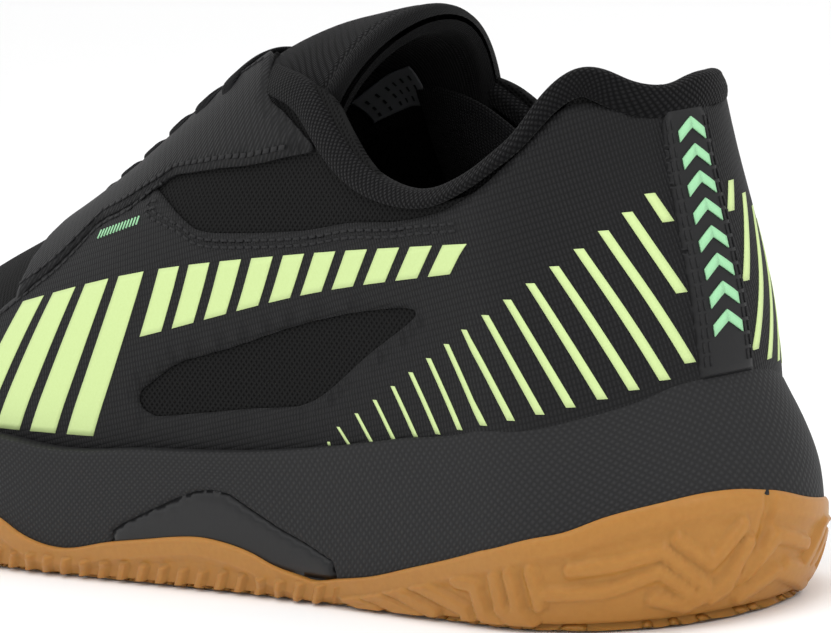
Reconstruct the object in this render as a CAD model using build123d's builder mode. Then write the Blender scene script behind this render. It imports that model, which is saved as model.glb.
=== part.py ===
"""Left court shoe, EU 42, as separate pieces on one last. Units: mm.

+X points to the toe, +Y to the outer (lateral) side, +Z up. The origin is the middle of the
shoe's footprint, on the ground. Lengths along the shoe are written from the heel and moved
by HEEL_X. The upper is a stack of layers: each layer is the space between two lasts, one
moved in further than the other, and each piece is cut out of its layer by its outline.
"""
import os
from bisect import bisect_right
from math import cos, radians, sin

from build123d import *

# ---- driving dimensions -------------------------------------------------------------
HEEL_X = -141.5          # where x = 0 of the heel-based lengths lies in the part's frame
REACH = 200.0            # half size of cutting blocks, past every side of the shoe
FOOTBED_Z = 20.0         # underside of the upper, where it sits in the midsole
TOP_Z = 124.0            # top of the last
HEEL_ARC = 36.0          # depth of the rounded heel of the upper, in plan
TOE_X = 288.0            # tip of the upper
LEAN = 0.035             # the upper leans inward by this much for each mm of height
LEAN_Z = 45.0
SOLE_ARC = 42.0          # depth of the rounded heel of the sole
SOLE_TOE_X = 291.0

STRIP_T = 0.9            # heel strip
OVERLAY_T = 1.2          # welded synthetic overlays
MESH_IN = 2.7            # inner face of the mesh
COUNTER_IN = 4.2         # inner face of the stiffeners
FOAM_IN = 7.2            # inner face of the collar foam
LINING_IN = 8.2          # inner face of the collar lining
BINDING_H = 4.0          # height of the rolled collar edge
INSET_SCALE = 40.0       # half width on which an inset is exact

THROAT_TOP = 16.0        # half width of the lacing gap at its top and at its lower end
THROAT_LOW = 10.0
EYELET_R = 2.0
EYELET_X = [129.0, 142.5, 156.0, 169.0, 181.5, 193.5]
EYELET_SET_BACK = 6.0    # eyelet centre from the edge of the lacing gap
LACE_W = 6.0
LACE_T = 1.2
LACE_LIFT = 1.4          # lace ends above the eyestay's outer face
LACE_RISE = 9.0          # height of the arch of a lace over the tongue
LACE_GAP = 0.8           # clearance where one lace crosses another
LACE_STEP = 3.0          # two laces leave one eyelet this far either side of it
INSTEP_SLOPE = 29.0      # degrees that the instep falls towards the toe
LACE_CRUMB = 40.0        # smaller cut-offs of a lace or tongue are dropped, mm3
TONGUE_T = 4.5
HINGE = (123.0, 114.0)   # fold line of the tongue, at its outer face
HINGE_RELIEF = 8.0       # degrees that the flap may tip back before it meets the tongue
TONGUE_Y = -2.0          # the tongue follows the lean of the upper

# knots of smooth curves: (length from the heel, half width or height)
UPPER_OUT = [(0, 33), (45, 34), (70, 35), (100, 37), (130, 41), (160, 45.5), (190, 48.5),
             (215, 48.5), (240, 44.5), (260, 36), (275, 25), (284, 13), (288, 0)]
UPPER_IN = [(0, 32.5), (45, 32.5), (70, 31.5), (100, 32), (130, 36.5), (160, 42), (190, 46),
            (215, 47), (240, 44.5), (260, 38), (275, 28), (284, 16), (288, 0)]
HEEL_BACK = [(15, 5), (25, 3.2), (38, 1.6), (50, 1.6), (62, 2.8), (75, 5.6), (90, 9),
             (103, 10.8), (125, 11.4)]
RIDGE = [(0, 165), (40, 155), (80, 140), (100, 131), (121, 121), (150, 105), (175, 91),
         (195, 81.5), (215, 73.5), (240, 65), (260, 57), (275, 46), (284, 34), (288, 22)]
SOLE_OUT = [(0, 34.5), (36, 36), (60, 37.5), (92, 39.5), (125, 43.5), (160, 48.5),
            (190, 52), (215, 53), (240, 50), (262, 41), (278, 28), (287, 15), (291, 0)]
SOLE_IN = [(0, 33.5), (36, 34), (60, 32.5), (92, 31), (125, 35.5), (160, 44), (190, 51),
           (215, 53), (240, 51.5), (262, 44), (278, 32), (287, 18), (291, 0)]
SOLE_BACK = [(0, -0.5), (5, -4.2), (12, -7.0), (20, -8), (26, -7.8), (36, -5), (44, -1.6),
             (52, 2.4)]
SOLE_FLARE = [(0, 0.5), (6, 2), (14, 3), (24, 2.6), (34, 0.8), (42, -1.5), (52, -3)]

# side-view lines: (length from the heel, height)
MIDSOLE_TOP = [(-20, 50.5), (2, 50), (6, 45.5), (16, 43), (30, 41.5), (43, 38.5), (58, 37),
               (80, 34), (105, 31.5), (145, 30), (190, 30), (230, 31), (265, 34), (310, 38)]
OUTSOLE_TOP = [(-20, 23), (-5, 26), (10, 23.5), (24, 19), (44, 13.5), (66, 8), (87, 5),
               (100, 7.5), (118, 12), (139, 10.5), (167, 6.5), (186, 12), (230, 15),
               (262, 17), (310, 18.5)]
TOE_SPRING = [(205, 0), (235, 2), (262, 6.5), (291, 15), (310, 22)]
COLLAR = [(-20, 103), (11, 103.5), (17, 107), (22, 107), (28.5, 98), (34, 93), (41, 89),
          (57, 85), (66, 86), (81, 92.5), (96, 104), (104, 108.5), (112, 110), (140, 110),
          (220, 110), (320, 110)]
OVERLAY_TOP = [(20, 120), (48, 84), (70, 79.5), (98, 77), (127, 76), (137, 79), (148, 83.5),
               (161, 80), (173, 76.5), (182, 70), (201, 59.5), (218, 49), (236, 28), (250, 15)]
EYESTAY_LOW = [(97, 93), (122, 89), (147, 85), (161, 81), (173, 77.5), (182, 71), (201, 60.5),
               (215, 60)]
WINDOW = [(144, 41), (131, 48.5), (97, 57), (71, 61.5), (57, 62), (71, 52.5), (88, 42.5),
          (110, 39.5), (136, 37)]
SHANK = [(149, 9), (147, 13), (138, 17), (128, 21), (117, 22.3), (108, 20), (98, 14.5),
         (82, 9.5), (78, 7)]
FOAM_LOW_Z = 62.0
FOAM_FRONT_X = 88.0
VAMP_X = 185.0           # seam between the quarters and the vamp
TOE_OVERLAY_X = 248.0    # rear edge of the toe overlay


def smooth(knots, x):
    """Height at x of the smooth cubic through the knots, straight past its ends."""
    xs = [k[0] for k in knots]
    ys = [k[1] for k in knots]
    steps = [b - a for a, b in zip(xs, xs[1:])]
    rises = [(b - a) / h for a, b, h in zip(ys, ys[1:], steps)]
    slopes = [rises[0]]
    for i in range(1, len(rises)):
        h0, h1 = steps[i - 1], steps[i]
        slopes.append((rises[i - 1] * h1 + rises[i] * h0) / (h0 + h1))
    slopes.append(rises[-1])
    if x <= xs[0]:
        return ys[0] + (x - xs[0]) * slopes[0]
    if x >= xs[-1]:
        return ys[-1] + (x - xs[-1]) * slopes[-1]
    i = bisect_right(xs, x) - 1
    h = steps[i]
    t = (x - xs[i]) / h
    start = (2 * t**3 - 3 * t**2 + 1) * ys[i] + (t**3 - 2 * t**2 + t) * h * slopes[i]
    end = (3 * t**2 - 2 * t**3) * ys[i + 1] + (t**3 - t**2) * h * slopes[i + 1]
    return start + end


def fullness(x, z, inset):
    """Share of the half width left at height z: a superellipse from footbed to ridge."""
    top = smooth(RIDGE, x) - inset
    share = min(max((z - FOOTBED_Z) / max(top - FOOTBED_Z, 0.1), 0), 1)
    tuck = 1 - 0.06 * max(1 - (z - FOOTBED_Z) / 20, 0) ** 2
    return max(1 - share**2.2, 0) ** 0.5 * tuck


def nose(z, inset):
    """Where the ridge line comes down to height z."""
    low, high = 60.0, TOE_X - inset
    if smooth(RIDGE, high) - inset > z:
        return high
    for _ in range(40):
        mid = (low + high) / 2
        if smooth(RIDGE, mid) - inset > z:
            low = mid
        else:
            high = mid
    return low


def heel_wrap(back, arc, angle):
    """Length and share of the half width on the rounded heel, angle from its middle."""
    return back + arc * (1 - max(cos(angle), 0) ** 0.92), sin(angle) ** 0.92


def upper_outline(z, inset):
    """Plan outline of the last at height z, moved in by inset."""
    back = smooth(HEEL_BACK, z) + inset
    start = back + HEEL_ARC
    front = nose(z, inset)
    slim = 1 - inset / INSET_SCALE
    shift = -LEAN * (z - LEAN_Z)
    stretch = (TOE_X - start) / (TOE_X - inset - start)
    sides = []
    for knots, sign in ((UPPER_OUT, 1), (UPPER_IN, -1)):
        side = []
        for degrees in (22, 45, 68):
            x, share = heel_wrap(back, HEEL_ARC, radians(degrees))
            y = smooth(knots, x) * slim * share * fullness(x, z, inset)
            side.append((x + HEEL_X, sign * y + shift))
        for part in (0, 0.16, 0.32, 0.48, 0.63, 0.77, 0.88, 0.955, 0.99):
            x = start + (front - start) * part
            wide = smooth(knots, start + (x - start) * stretch)
            y = wide * slim * fullness(x, z, inset)
            side.append((x + HEEL_X, sign * y + shift))
        sides.append(side)
    return [(back + HEEL_X, shift)] + sides[0] + [(front + HEEL_X, shift)] + sides[1][::-1]


def sole_outline(z, inset):
    """Plan outline of the sole's wall at height z, moved in by inset."""
    back = smooth(SOLE_BACK, z) + inset
    flare = smooth(SOLE_FLARE, z)
    sides = []
    for knots, sign in ((SOLE_OUT, 1), (SOLE_IN, -1)):
        side = []
        for degrees in (22, 45, 68):
            x, share = heel_wrap(back, SOLE_ARC, radians(degrees))
            side.append((x + HEEL_X, sign * (smooth(knots, x) + flare - inset) * share))
        start = back + SOLE_ARC
        for part in (0, 0.14, 0.28, 0.42, 0.56, 0.69, 0.8, 0.89, 0.95, 0.985):
            x = start + (SOLE_TOE_X - inset - start) * part
            wide = smooth(knots, start + (SOLE_TOE_X - start) * part)
            fade = min(1, (SOLE_TOE_X - x) / 30)
            side.append((x + HEEL_X, sign * (wide + (flare - inset) * fade)))
        sides.append(side)
    tip = (SOLE_TOE_X - inset + HEEL_X, 0)
    return [(back + HEEL_X, 0)] + sides[0] + [tip] + sides[1][::-1]


def stack(outline, heights, inset):
    """Solid through the plan outlines at the given heights."""
    with BuildPart(mode=Mode.PRIVATE) as block:
        for height in heights:
            with BuildSketch(Plane.XY.offset(height)):
                with BuildLine():
                    Spline(*outline(height, inset), periodic=True)
                make_face()
        loft()
    return block.part


def side_block(points, y_low=-REACH, y_high=REACH, curved=False):
    """Side-view outline carried across the shoe from y_low to y_high."""
    moved = [(x + HEEL_X, z) for x, z in points]
    with BuildPart(mode=Mode.PRIVATE) as block:
        with BuildSketch(Plane.XZ.offset(-y_high)):
            with BuildLine():
                if curved:
                    Spline(*moved, periodic=True)
                else:
                    Polyline(*moved, close=True)
            make_face()
        extrude(amount=y_high - y_low)
    return block.part


def under_line(knots, drop=0.0, y_low=-REACH, y_high=REACH):
    """Everything below a smooth side-view line, lowered by drop."""
    moved = [(x + HEEL_X, z - drop) for x, z in knots]
    with BuildPart(mode=Mode.PRIVATE) as block:
        with BuildSketch(Plane.XZ.offset(-y_high)):
            with BuildLine():
                Spline(*moved)
                Polyline(moved[-1], (moved[-1][0], -REACH), (moved[0][0], -REACH), moved[0])
            make_face()
        extrude(amount=y_high - y_low)
    return block.part


def box_block(x_low, x_high, y_low, y_high, z_low, z_high):
    """Plain cutting block, lengths from the heel."""
    low = Vector(x_low + HEEL_X, y_low, z_low)
    size = (x_high - x_low, y_high - y_low, z_high - z_low)
    corner = (Align.MIN, Align.MIN, Align.MIN)
    return Pos(low.X, low.Y, low.Z) * Box(*size, align=corner, mode=Mode.PRIVATE)


def clear_of(builder, pieces):
    """Cut finished pieces out of the part being built, and drop small cut-offs."""
    for piece in pieces:
        add(piece, mode=Mode.SUBTRACT)
    large = [solid for solid in builder.solids() if solid.volume > LACE_CRUMB]
    add(large, mode=Mode.REPLACE)


def finish(builder, name):
    """Label a finished piece and write its STEP file."""
    builder.part.label = name
    export_step(builder.part, f"parts/{name}.step")


os.makedirs("parts", exist_ok=True)

# ---- lasts and cutting blocks ------------------------------------------------------
UPPER_LEVELS = [20, 28, 36, 44, 52, 60, 68, 77, 88, 100, 112, TOP_Z]
SOLE_LEVELS = [0, 5, 12, 20, 28, 36, 44, 52]
LAST = {}
for inset in (-STRIP_T, 0.0, OVERLAY_T, MESH_IN, COUNTER_IN, FOAM_IN, LINING_IN):
    LAST[inset] = stack(upper_outline, UPPER_LEVELS, inset)

SOLE = stack(sole_outline, SOLE_LEVELS, 0.0)
RIM = 4.0
PLATE_T = 4.5
SHANK_T = 2.5
SOLE_CORE = stack(sole_outline, SOLE_LEVELS, RIM)
SHANK_CORE = stack(sole_outline, SOLE_LEVELS, SHANK_T)

BELOW_BINDING = under_line(COLLAR, BINDING_H)
BELOW_COLLAR = under_line(COLLAR)

with BuildPart() as throat:
    with BuildSketch(Plane.XY.offset(FOOTBED_Z + 20)):
        with BuildLine():
            gap = [(85, THROAT_TOP), (125, THROAT_TOP), (165, 13.5), (195, THROAT_LOW)]
            outer_edge = [(x + HEEL_X, y - 1.5) for x, y in gap]
            inner_edge = [(x, -y - 3.0) for x, y in outer_edge]
            Polyline(*outer_edge)
            tip = (195 + THROAT_LOW + HEEL_X, -1.5)
            ThreePointArc(outer_edge[-1], tip, inner_edge[-1])
            Polyline(*inner_edge)
            Line(inner_edge[0], outer_edge[0])
        make_face()
    extrude(amount=REACH)


def layer(outer, inner):
    """Space between two lasts."""
    with BuildPart(mode=Mode.PRIVATE) as sheet:
        add(LAST[outer])
        add(LAST[inner], mode=Mode.SUBTRACT)
    return sheet.part


def keep(*blocks):
    """Cut the part being built down to what lies inside each block."""
    for block in blocks:
        add(block, mode=Mode.INTERSECT)


# ---- sole ----------------------------------------------------------------------------
TREAD_DEPTH = 2.0
TREAD_PITCH = 13.0
TREAD_W = 3.2
with BuildPart(mode=Mode.PRIVATE) as rim:
    add(SOLE)
    keep(under_line(OUTSOLE_TOP))
    add(SOLE_CORE & box_block(-50, 350, -REACH, REACH, PLATE_T, 90), mode=Mode.SUBTRACT)
outsole_rim = rim.part

with BuildPart() as outsole:
    add(outsole_rim)
    add(under_line(TOE_SPRING), mode=Mode.SUBTRACT)
    with BuildSketch(Plane.XY):
        for row in range(15):
            middle = 12 + TREAD_PITCH * row + HEEL_X
            for sign in (1, -1):
                with Locations((middle + 16, sign * 34)):
                    Rectangle(76, TREAD_W, rotation=sign * 62)
    extrude(amount=TREAD_DEPTH, mode=Mode.SUBTRACT)
finish(outsole, "outsole")

shank_socket = side_block(SHANK) - SHANK_CORE - under_line(OUTSOLE_TOP)

with BuildPart() as arch_shank:
    add(SOLE)
    keep(shank_socket)
finish(arch_shank, "arch_shank")

with BuildPart() as midsole:
    add(SOLE)
    keep(under_line(MIDSOLE_TOP))
    add(under_line(OUTSOLE_TOP), mode=Mode.SUBTRACT)
    add(SOLE_CORE & box_block(-50, 350, -REACH, REACH, PLATE_T, FOOTBED_Z))
    add(LAST[0.0], mode=Mode.SUBTRACT)
    add(shank_socket, mode=Mode.SUBTRACT)
finish(midsole, "midsole")

# ---- inside the shoe -----------------------------------------------------------------
BOARD_T = 1.2
SOCKLINER_IN = 5.4
SOCKLINER_LOW = 21.5
SOCKLINER_T = 4.0


def flat_piece(inset, low, thickness):
    """Slab in the outline of the foot, standing at height low."""
    with BuildPart(mode=Mode.PRIVATE) as slab:
        with BuildSketch(Plane.XY.offset(low)):
            with BuildLine():
                Spline(*upper_outline(FOOTBED_Z + 3, inset), periodic=True)
            make_face()
        extrude(amount=thickness)
    return slab.part


with BuildPart() as strobel_board:
    add(flat_piece(COUNTER_IN, FOOTBED_Z, BOARD_T))
finish(strobel_board, "strobel_board")

with BuildPart() as sockliner:
    add(flat_piece(SOCKLINER_IN, SOCKLINER_LOW, SOCKLINER_T))
finish(sockliner, "sockliner")

OVERLAY = layer(0.0, OVERLAY_T)
MESH = layer(OVERLAY_T, MESH_IN)
STIFFENER = layer(MESH_IN, COUNTER_IN)
FOAM = layer(MESH_IN, FOAM_IN)
LINING = layer(FOAM_IN, LINING_IN)
STRIP = layer(-STRIP_T, 0.0)
OUT_SIDE = box_block(-50, 350, -1.5, REACH, 0, REACH)
IN_SIDE = box_block(-50, 350, -REACH, -1.5, 0, REACH)
REAR = box_block(-50, VAMP_X, -REACH, REACH, 0, REACH)
FRONT = box_block(VAMP_X, 350, -REACH, REACH, 0, REACH)
COLLAR_ZONE = box_block(-50, FOAM_FRONT_X, -REACH, REACH, FOAM_LOW_Z, REACH)
SIDES = {"lateral": OUT_SIDE, "medial": IN_SIDE}

with BuildPart() as heel_counter:
    add(STIFFENER)
    keep(box_block(-50, 68, -REACH, REACH, FOOTBED_Z + BOARD_T, FOAM_LOW_Z))
finish(heel_counter, "heel_counter")

with BuildPart() as toe_puff:
    add(STIFFENER)
    keep(box_block(252, 350, -REACH, REACH, FOOTBED_Z + BOARD_T, REACH))
finish(toe_puff, "toe_puff")

with BuildPart() as collar_foam:
    add(FOAM)
    keep(COLLAR_ZONE, BELOW_BINDING)
finish(collar_foam, "collar_foam")

with BuildPart() as collar_lining:
    add(LINING)
    keep(COLLAR_ZONE, BELOW_BINDING)
finish(collar_lining, "collar_lining")

with BuildPart() as collar_binding:
    add(LAST[0.0])
    add(LAST[LINING_IN], mode=Mode.SUBTRACT)
    keep(BELOW_COLLAR, COLLAR_ZONE)
    add(BELOW_BINDING, mode=Mode.SUBTRACT)
finish(collar_binding, "collar_binding")

# ---- mesh of the upper -----------------------------------------------------------------
QUARTERS = []
for side, half in SIDES.items():
    with BuildPart() as quarter_mesh:
        add(MESH)
        keep(half, REAR, BELOW_BINDING)
        add(throat.part, mode=Mode.SUBTRACT)
    finish(quarter_mesh, f"quarter_mesh_{side}")
    QUARTERS.append(quarter_mesh.part)

with BuildPart() as vamp_mesh:
    add(MESH)
    keep(FRONT)
    add(throat.part, mode=Mode.SUBTRACT)
finish(vamp_mesh, "vamp_mesh")

# ---- overlays ---------------------------------------------------------------------------
WINDOW_BLOCK = side_block(WINDOW, curved=True)
MIDSOLE_BLOCK = under_line(MIDSOLE_TOP)
STRIP_BOX = box_block(-50, 25, -7.5, 6.5, 45, REACH)
OVERLAY_LOW = under_line(OVERLAY_TOP)
EYESTAY_BELOW = under_line(EYESTAY_LOW)
EYESTAY_ZONE = box_block(97, 215, -REACH, REACH, 55, REACH)
EYESTAYS = []
for side, half in SIDES.items():
    with BuildPart() as quarter_overlay:
        add(OVERLAY)
        keep(half, OVERLAY_LOW, BELOW_BINDING)
        add(WINDOW_BLOCK, mode=Mode.SUBTRACT)
    finish(quarter_overlay, f"quarter_overlay_{side}")

    sign = 1 if side == "lateral" else -1
    with BuildPart() as eyestay:
        add(OVERLAY)
        keep(half, EYESTAY_ZONE, BELOW_BINDING)
        add(EYESTAY_BELOW, mode=Mode.SUBTRACT)
        add(throat.part, mode=Mode.SUBTRACT)
        for x in EYELET_X:
            edge = THROAT_TOP + (THROAT_LOW - THROAT_TOP) * (x - 125) / 70
            y = sign * (edge + EYELET_SET_BACK) - 3.0
            with Locations((x + HEEL_X, y, 90)):
                Cylinder(EYELET_R, 120, mode=Mode.SUBTRACT)
    finish(eyestay, f"eyestay_{side}")
    EYESTAYS.append(eyestay.part)

with BuildPart() as toe_overlay:
    add(OVERLAY)
    keep(box_block(TOE_OVERLAY_X, 350, -REACH, REACH, FOOTBED_Z, REACH))
    with BuildSketch(Plane.XY.offset(FOOTBED_Z)):
        with Locations((232 + HEEL_X, -1)):
            Ellipse(36, 30)
    extrude(amount=REACH, mode=Mode.SUBTRACT)
finish(toe_overlay, "toe_overlay")

with BuildPart() as heel_strip:
    add(STRIP)
    keep(STRIP_BOX, BELOW_BINDING)
    add(MIDSOLE_BLOCK, mode=Mode.SUBTRACT)
finish(heel_strip, "heel_strip")


# ---- tongue --------------------------------------------------------------------------------
def tongue_section(x, z, slope, half_width, drop, depth_top=0.0, thickness=TONGUE_T):
    """Arched band across the shoe, square to the tongue's line at (x, z)."""
    tangent = (cos(radians(slope)), 0, -sin(radians(slope)))
    plane = Plane(origin=(x + HEEL_X, TONGUE_Y, z), x_dir=(0, 1, 0), z_dir=tangent)
    low = depth_top + thickness
    inner = half_width - 1.0
    with BuildSketch(plane) as section:
        with BuildLine():
            ThreePointArc((-half_width, -drop), (0, -depth_top), (half_width, -drop))
            Line((half_width, -drop), (inner, -drop - thickness))
            ThreePointArc((inner, -drop - thickness), (0, -low), (-inner, -drop - thickness))
            Line((-inner, -drop - thickness), (-half_width, -drop))
        make_face()
    return section.sketch


UPPER_SHELL = QUARTERS + EYESTAYS + [vamp_mesh.part]
with BuildPart() as tongue:
    loft([
        tongue_section(203, 73.5, 23, 17, 3.4),
        tongue_section(180, 83.5, 26, 20, 5.0),
        tongue_section(150, 99.5, 29, 22, 9.0),
        tongue_section(HINGE[0] + 0.3, HINGE[1], 28, 20, 10.0),
    ])
    clear_of(tongue, UPPER_SHELL)
    add(max(tongue.solids(), key=lambda solid: solid.volume), mode=Mode.REPLACE)
finish(tongue, "tongue")

with BuildPart() as tongue_flap:
    loft([
        tongue_section(HINGE[0] - 0.3, HINGE[1] + 0.2, 28 + HINGE_RELIEF, 15.5, 6.0),
        tongue_section(104, 122, 15, 19, 7.5),
        tongue_section(84, 124.5, -2, 17, 7.5),
    ])
finish(tongue_flap, "tongue_flap")

with BuildPart() as tongue_label:
    extrude(tongue_section(98, 123.0, 8, 12, 3.3 + TONGUE_T, TONGUE_T + 0.9, 0.5), amount=-12)
    clear_of(tongue_label, [tongue_flap.part])
finish(tongue_label, "tongue_label")


# ---- laces ------------------------------------------------------------------------------------
def eyelet_point(x, sign, lift):
    """Point above an eyelet, on the outer face of the eyestay, lifted by lift."""
    edge = THROAT_TOP + (THROAT_LOW - THROAT_TOP) * (x - 125) / 70
    y = sign * (edge + EYELET_SET_BACK)
    wide = smooth(UPPER_OUT if sign > 0 else UPPER_IN, x)
    share = (1 - min(abs(y) / wide, 1) ** 2) ** (1 / 2.2)
    z = FOOTBED_Z + share * (smooth(RIDGE, x) - FOOTBED_Z)
    return Vector(x + HEEL_X, y - 3.0 + 1.2, z + lift)


UNDER_LACES = UPPER_SHELL + [tongue.part]


def lace_strap(start, end, rise):
    """Flat strap from one point to another, arched over the tongue."""
    along = end - start
    instep = Vector(sin(radians(INSTEP_SLOPE)), 0, cos(radians(INSTEP_SLOPE)))
    side = along.cross(instep).normalized()
    plane = Plane(origin=start, x_dir=along.normalized(), z_dir=side)
    span = along.length
    with BuildSketch(plane.offset(-LACE_W / 2)) as band:
        with BuildLine():
            ThreePointArc((0, 0), (span / 2, rise), (span, 0))
            Line((span, 0), (span, LACE_T))
            ThreePointArc((span, LACE_T), (span / 2, rise + LACE_T), (0, LACE_T))
            Line((0, LACE_T), (0, 0))
        make_face()
    extrude(band.sketch, amount=LACE_W)


with BuildPart() as laces_under:
    for i in range(len(EYELET_X) - 1):
        start = eyelet_point(EYELET_X[i + 1], 1, LACE_LIFT)
        end = eyelet_point(EYELET_X[i] + LACE_STEP, -1, LACE_LIFT)
        lace_strap(start, end, LACE_RISE)
    clear_of(laces_under, UNDER_LACES)
finish(laces_under, "laces_under")

with BuildPart() as laces_over:
    for i in range(len(EYELET_X) - 1):
        start = eyelet_point(EYELET_X[i + 1] - LACE_STEP, -1, LACE_LIFT)
        end = eyelet_point(EYELET_X[i], 1, LACE_LIFT)
        lace_strap(start, end, LACE_RISE + LACE_T + LACE_GAP)
    clear_of(laces_over, UNDER_LACES + [laces_under.part])
finish(laces_over, "laces_over")

for name, block in (("lasts", LAST[0.0]), ("sole", SOLE)):
    box = block.bounding_box()
    print(name, round(box.size.X, 1), round(box.size.Y, 1), round(box.size.Z, 1))
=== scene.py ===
# %% [markdown]
# # A court shoe, built the way a shoemaker builds it
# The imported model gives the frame: where each piece of the shoe is and how it moves. Everything
# you see is made here as thin skins and padded bodies on one last, which is the foot-shaped
# form that a shoe is pulled over. All shapes are worked out in millimetres and turned to
# metres only when a mesh is made.

# %% Load the frame
import math
import bpy
import numpy as np
from mathutils import Matrix, Vector
from mathutils.geometry import delaunay_2d_cdt


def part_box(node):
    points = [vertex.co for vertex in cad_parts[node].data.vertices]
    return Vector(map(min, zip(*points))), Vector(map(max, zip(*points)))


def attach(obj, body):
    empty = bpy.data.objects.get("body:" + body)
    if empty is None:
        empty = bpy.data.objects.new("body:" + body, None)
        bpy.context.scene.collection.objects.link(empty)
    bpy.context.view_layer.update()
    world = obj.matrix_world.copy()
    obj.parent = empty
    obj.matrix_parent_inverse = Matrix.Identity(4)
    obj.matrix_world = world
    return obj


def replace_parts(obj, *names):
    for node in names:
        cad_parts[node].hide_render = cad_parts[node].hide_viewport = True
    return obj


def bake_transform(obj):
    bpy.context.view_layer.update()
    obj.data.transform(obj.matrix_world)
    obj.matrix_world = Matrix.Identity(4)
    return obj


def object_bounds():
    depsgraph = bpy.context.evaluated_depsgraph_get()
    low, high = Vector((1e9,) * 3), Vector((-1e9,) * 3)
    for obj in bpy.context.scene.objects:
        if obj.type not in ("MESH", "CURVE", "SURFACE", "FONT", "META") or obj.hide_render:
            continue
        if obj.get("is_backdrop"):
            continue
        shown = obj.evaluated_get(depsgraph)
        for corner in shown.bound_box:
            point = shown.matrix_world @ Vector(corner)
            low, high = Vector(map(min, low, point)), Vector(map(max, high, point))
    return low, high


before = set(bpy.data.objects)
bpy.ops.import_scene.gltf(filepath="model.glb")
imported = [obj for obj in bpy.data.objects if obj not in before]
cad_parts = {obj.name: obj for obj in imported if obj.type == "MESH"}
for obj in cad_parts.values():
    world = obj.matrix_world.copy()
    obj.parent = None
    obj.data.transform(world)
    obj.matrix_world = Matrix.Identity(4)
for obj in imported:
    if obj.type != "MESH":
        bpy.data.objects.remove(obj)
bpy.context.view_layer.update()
MM = 0.001
SOLE_BULGE = 8.07  # the sole stands this far behind the heel line
HEEL_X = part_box("outsole")[0][0] / MM + SOLE_BULGE
print(len(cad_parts), "CAD nodes; heel line at x =", round(HEEL_X, 2), "mm")

# %% [markdown]
# ## Camera, floor and light
# The camera comes first, because it decides what has to be detailed. It stands low behind the
# outer side of the heel, about 0.85 m away, with a long lens, and leans a little to one side.

# %% Camera
AZIMUTH, ELEVATION, ROLL = math.radians(37.8), math.radians(7.1), math.radians(-4.9)
DISTANCE = 0.846
LENS_MM = 170.3
AIM = Vector(((98.4 + HEEL_X) * MM, 0, 54.3 * MM))
back = Vector((-math.cos(AZIMUTH) * math.cos(ELEVATION),
               math.sin(AZIMUTH) * math.cos(ELEVATION), math.sin(ELEVATION)))
level = (-back).cross(Vector((0, 0, 1))).normalized()
rise = level.cross(-back)
right = level * math.cos(ROLL) + rise * math.sin(ROLL)
up = rise * math.cos(ROLL) - level * math.sin(ROLL)
camera = bpy.data.objects.new("camera", bpy.data.cameras.new("camera"))
bpy.context.scene.collection.objects.link(camera)
camera.data.sensor_width = 36
camera.data.lens = LENS_MM
camera.data.clip_start = 0.01
pose = Matrix((right, up, back)).transposed().to_4x4()
pose.translation = AIM + back * DISTANCE
camera.matrix_world = pose
bpy.context.scene.camera = camera


# %% Colour and node helpers
def linear(hex_colour):
    """sRGB hex, such as '2B2B2C', to linear RGBA."""
    parts = [int(hex_colour[i:i + 2], 16) / 255 for i in (0, 2, 4)]
    return [c / 12.92 if c <= 0.04045 else ((c + 0.055) / 1.055) ** 2.4 for c in parts] + [1]


def node(tree, kind, settings=None, **links):
    """Add one node; settings set its properties, links fill its inputs by name or number."""
    made = tree.nodes.new("ShaderNode" + kind)
    for key, value in (settings or {}).items():
        setattr(made, key, value)
    for key, value in links.items():
        name = key.replace("_", " ")
        socket = made.inputs[int(key[1:])] if key[1:].isdigit() else made.inputs[name]
        if isinstance(value, bpy.types.NodeSocket):
            tree.links.new(value, socket)
        else:
            socket.default_value = value
    return made


def surface(name, roughness, ior=1.33, sheen=0.0):
    """A new material; returns it with its tree and its Principled shader."""
    made = bpy.data.materials.new(name)
    made.use_nodes = True
    tree = made.node_tree
    shader = tree.nodes["Principled BSDF"]
    shader.inputs["IOR"].default_value = ior
    shader.inputs["Roughness"].default_value = roughness
    shader.inputs["Sheen Weight"].default_value = sheen
    return made, tree, shader


# %% Floor and soft lights
paper, _, paper_shader = surface("matt_white_paper", 0.95)
paper_shader.inputs["Base Color"].default_value = linear("FDFDFD")
bpy.ops.mesh.primitive_plane_add(size=12, location=(0, 0, -0.0005))
floor = bpy.context.object
floor.name = "floor"
floor.data.materials.append(paper)
floor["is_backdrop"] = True

world = bpy.data.worlds.new("soft_studio")
world.use_nodes = True
world.node_tree.nodes["Background"].inputs["Color"].default_value = (1, 1, 1, 1)
world.node_tree.nodes["Background"].inputs["Strength"].default_value = 1.0
bpy.context.scene.world = world
bpy.context.scene.view_settings.view_transform = "Standard"


def soft_light(name, place, size, power):
    """Square area lamp at place, aimed at the middle of the shoe."""
    lamp = bpy.data.objects.new(name, bpy.data.lights.new(name, "AREA"))
    lamp.data.size = size
    lamp.data.energy = power
    lamp.location = place
    aim = Vector((0, 0, 0.05)) - Vector(place)
    lamp.rotation_euler = aim.to_track_quat("-Z", "Y").to_euler()
    bpy.context.scene.collection.objects.link(lamp)


soft_light("overhead", (-0.2, 0.2, 1.1), 0.7, 3.2)
soft_light("heel_side", (-1.1, 0.1, 0.6), 0.5, 2.2)
soft_light("outer_side", (0.2, 1.0, 0.8), 0.6, 1.6)

# %% [markdown]
# ## The last
# A last is a smooth solid, so its surface can be written down. Three smooth curves give its
# half widths and its ridge line, and a superellipse joins them at every length. Around the
# heel the sides turn in on a rounded arc. Two ways of walking over that surface are needed:
# `wall` goes round the heel and up, `bow` goes along the shoe and over the instep.

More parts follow.
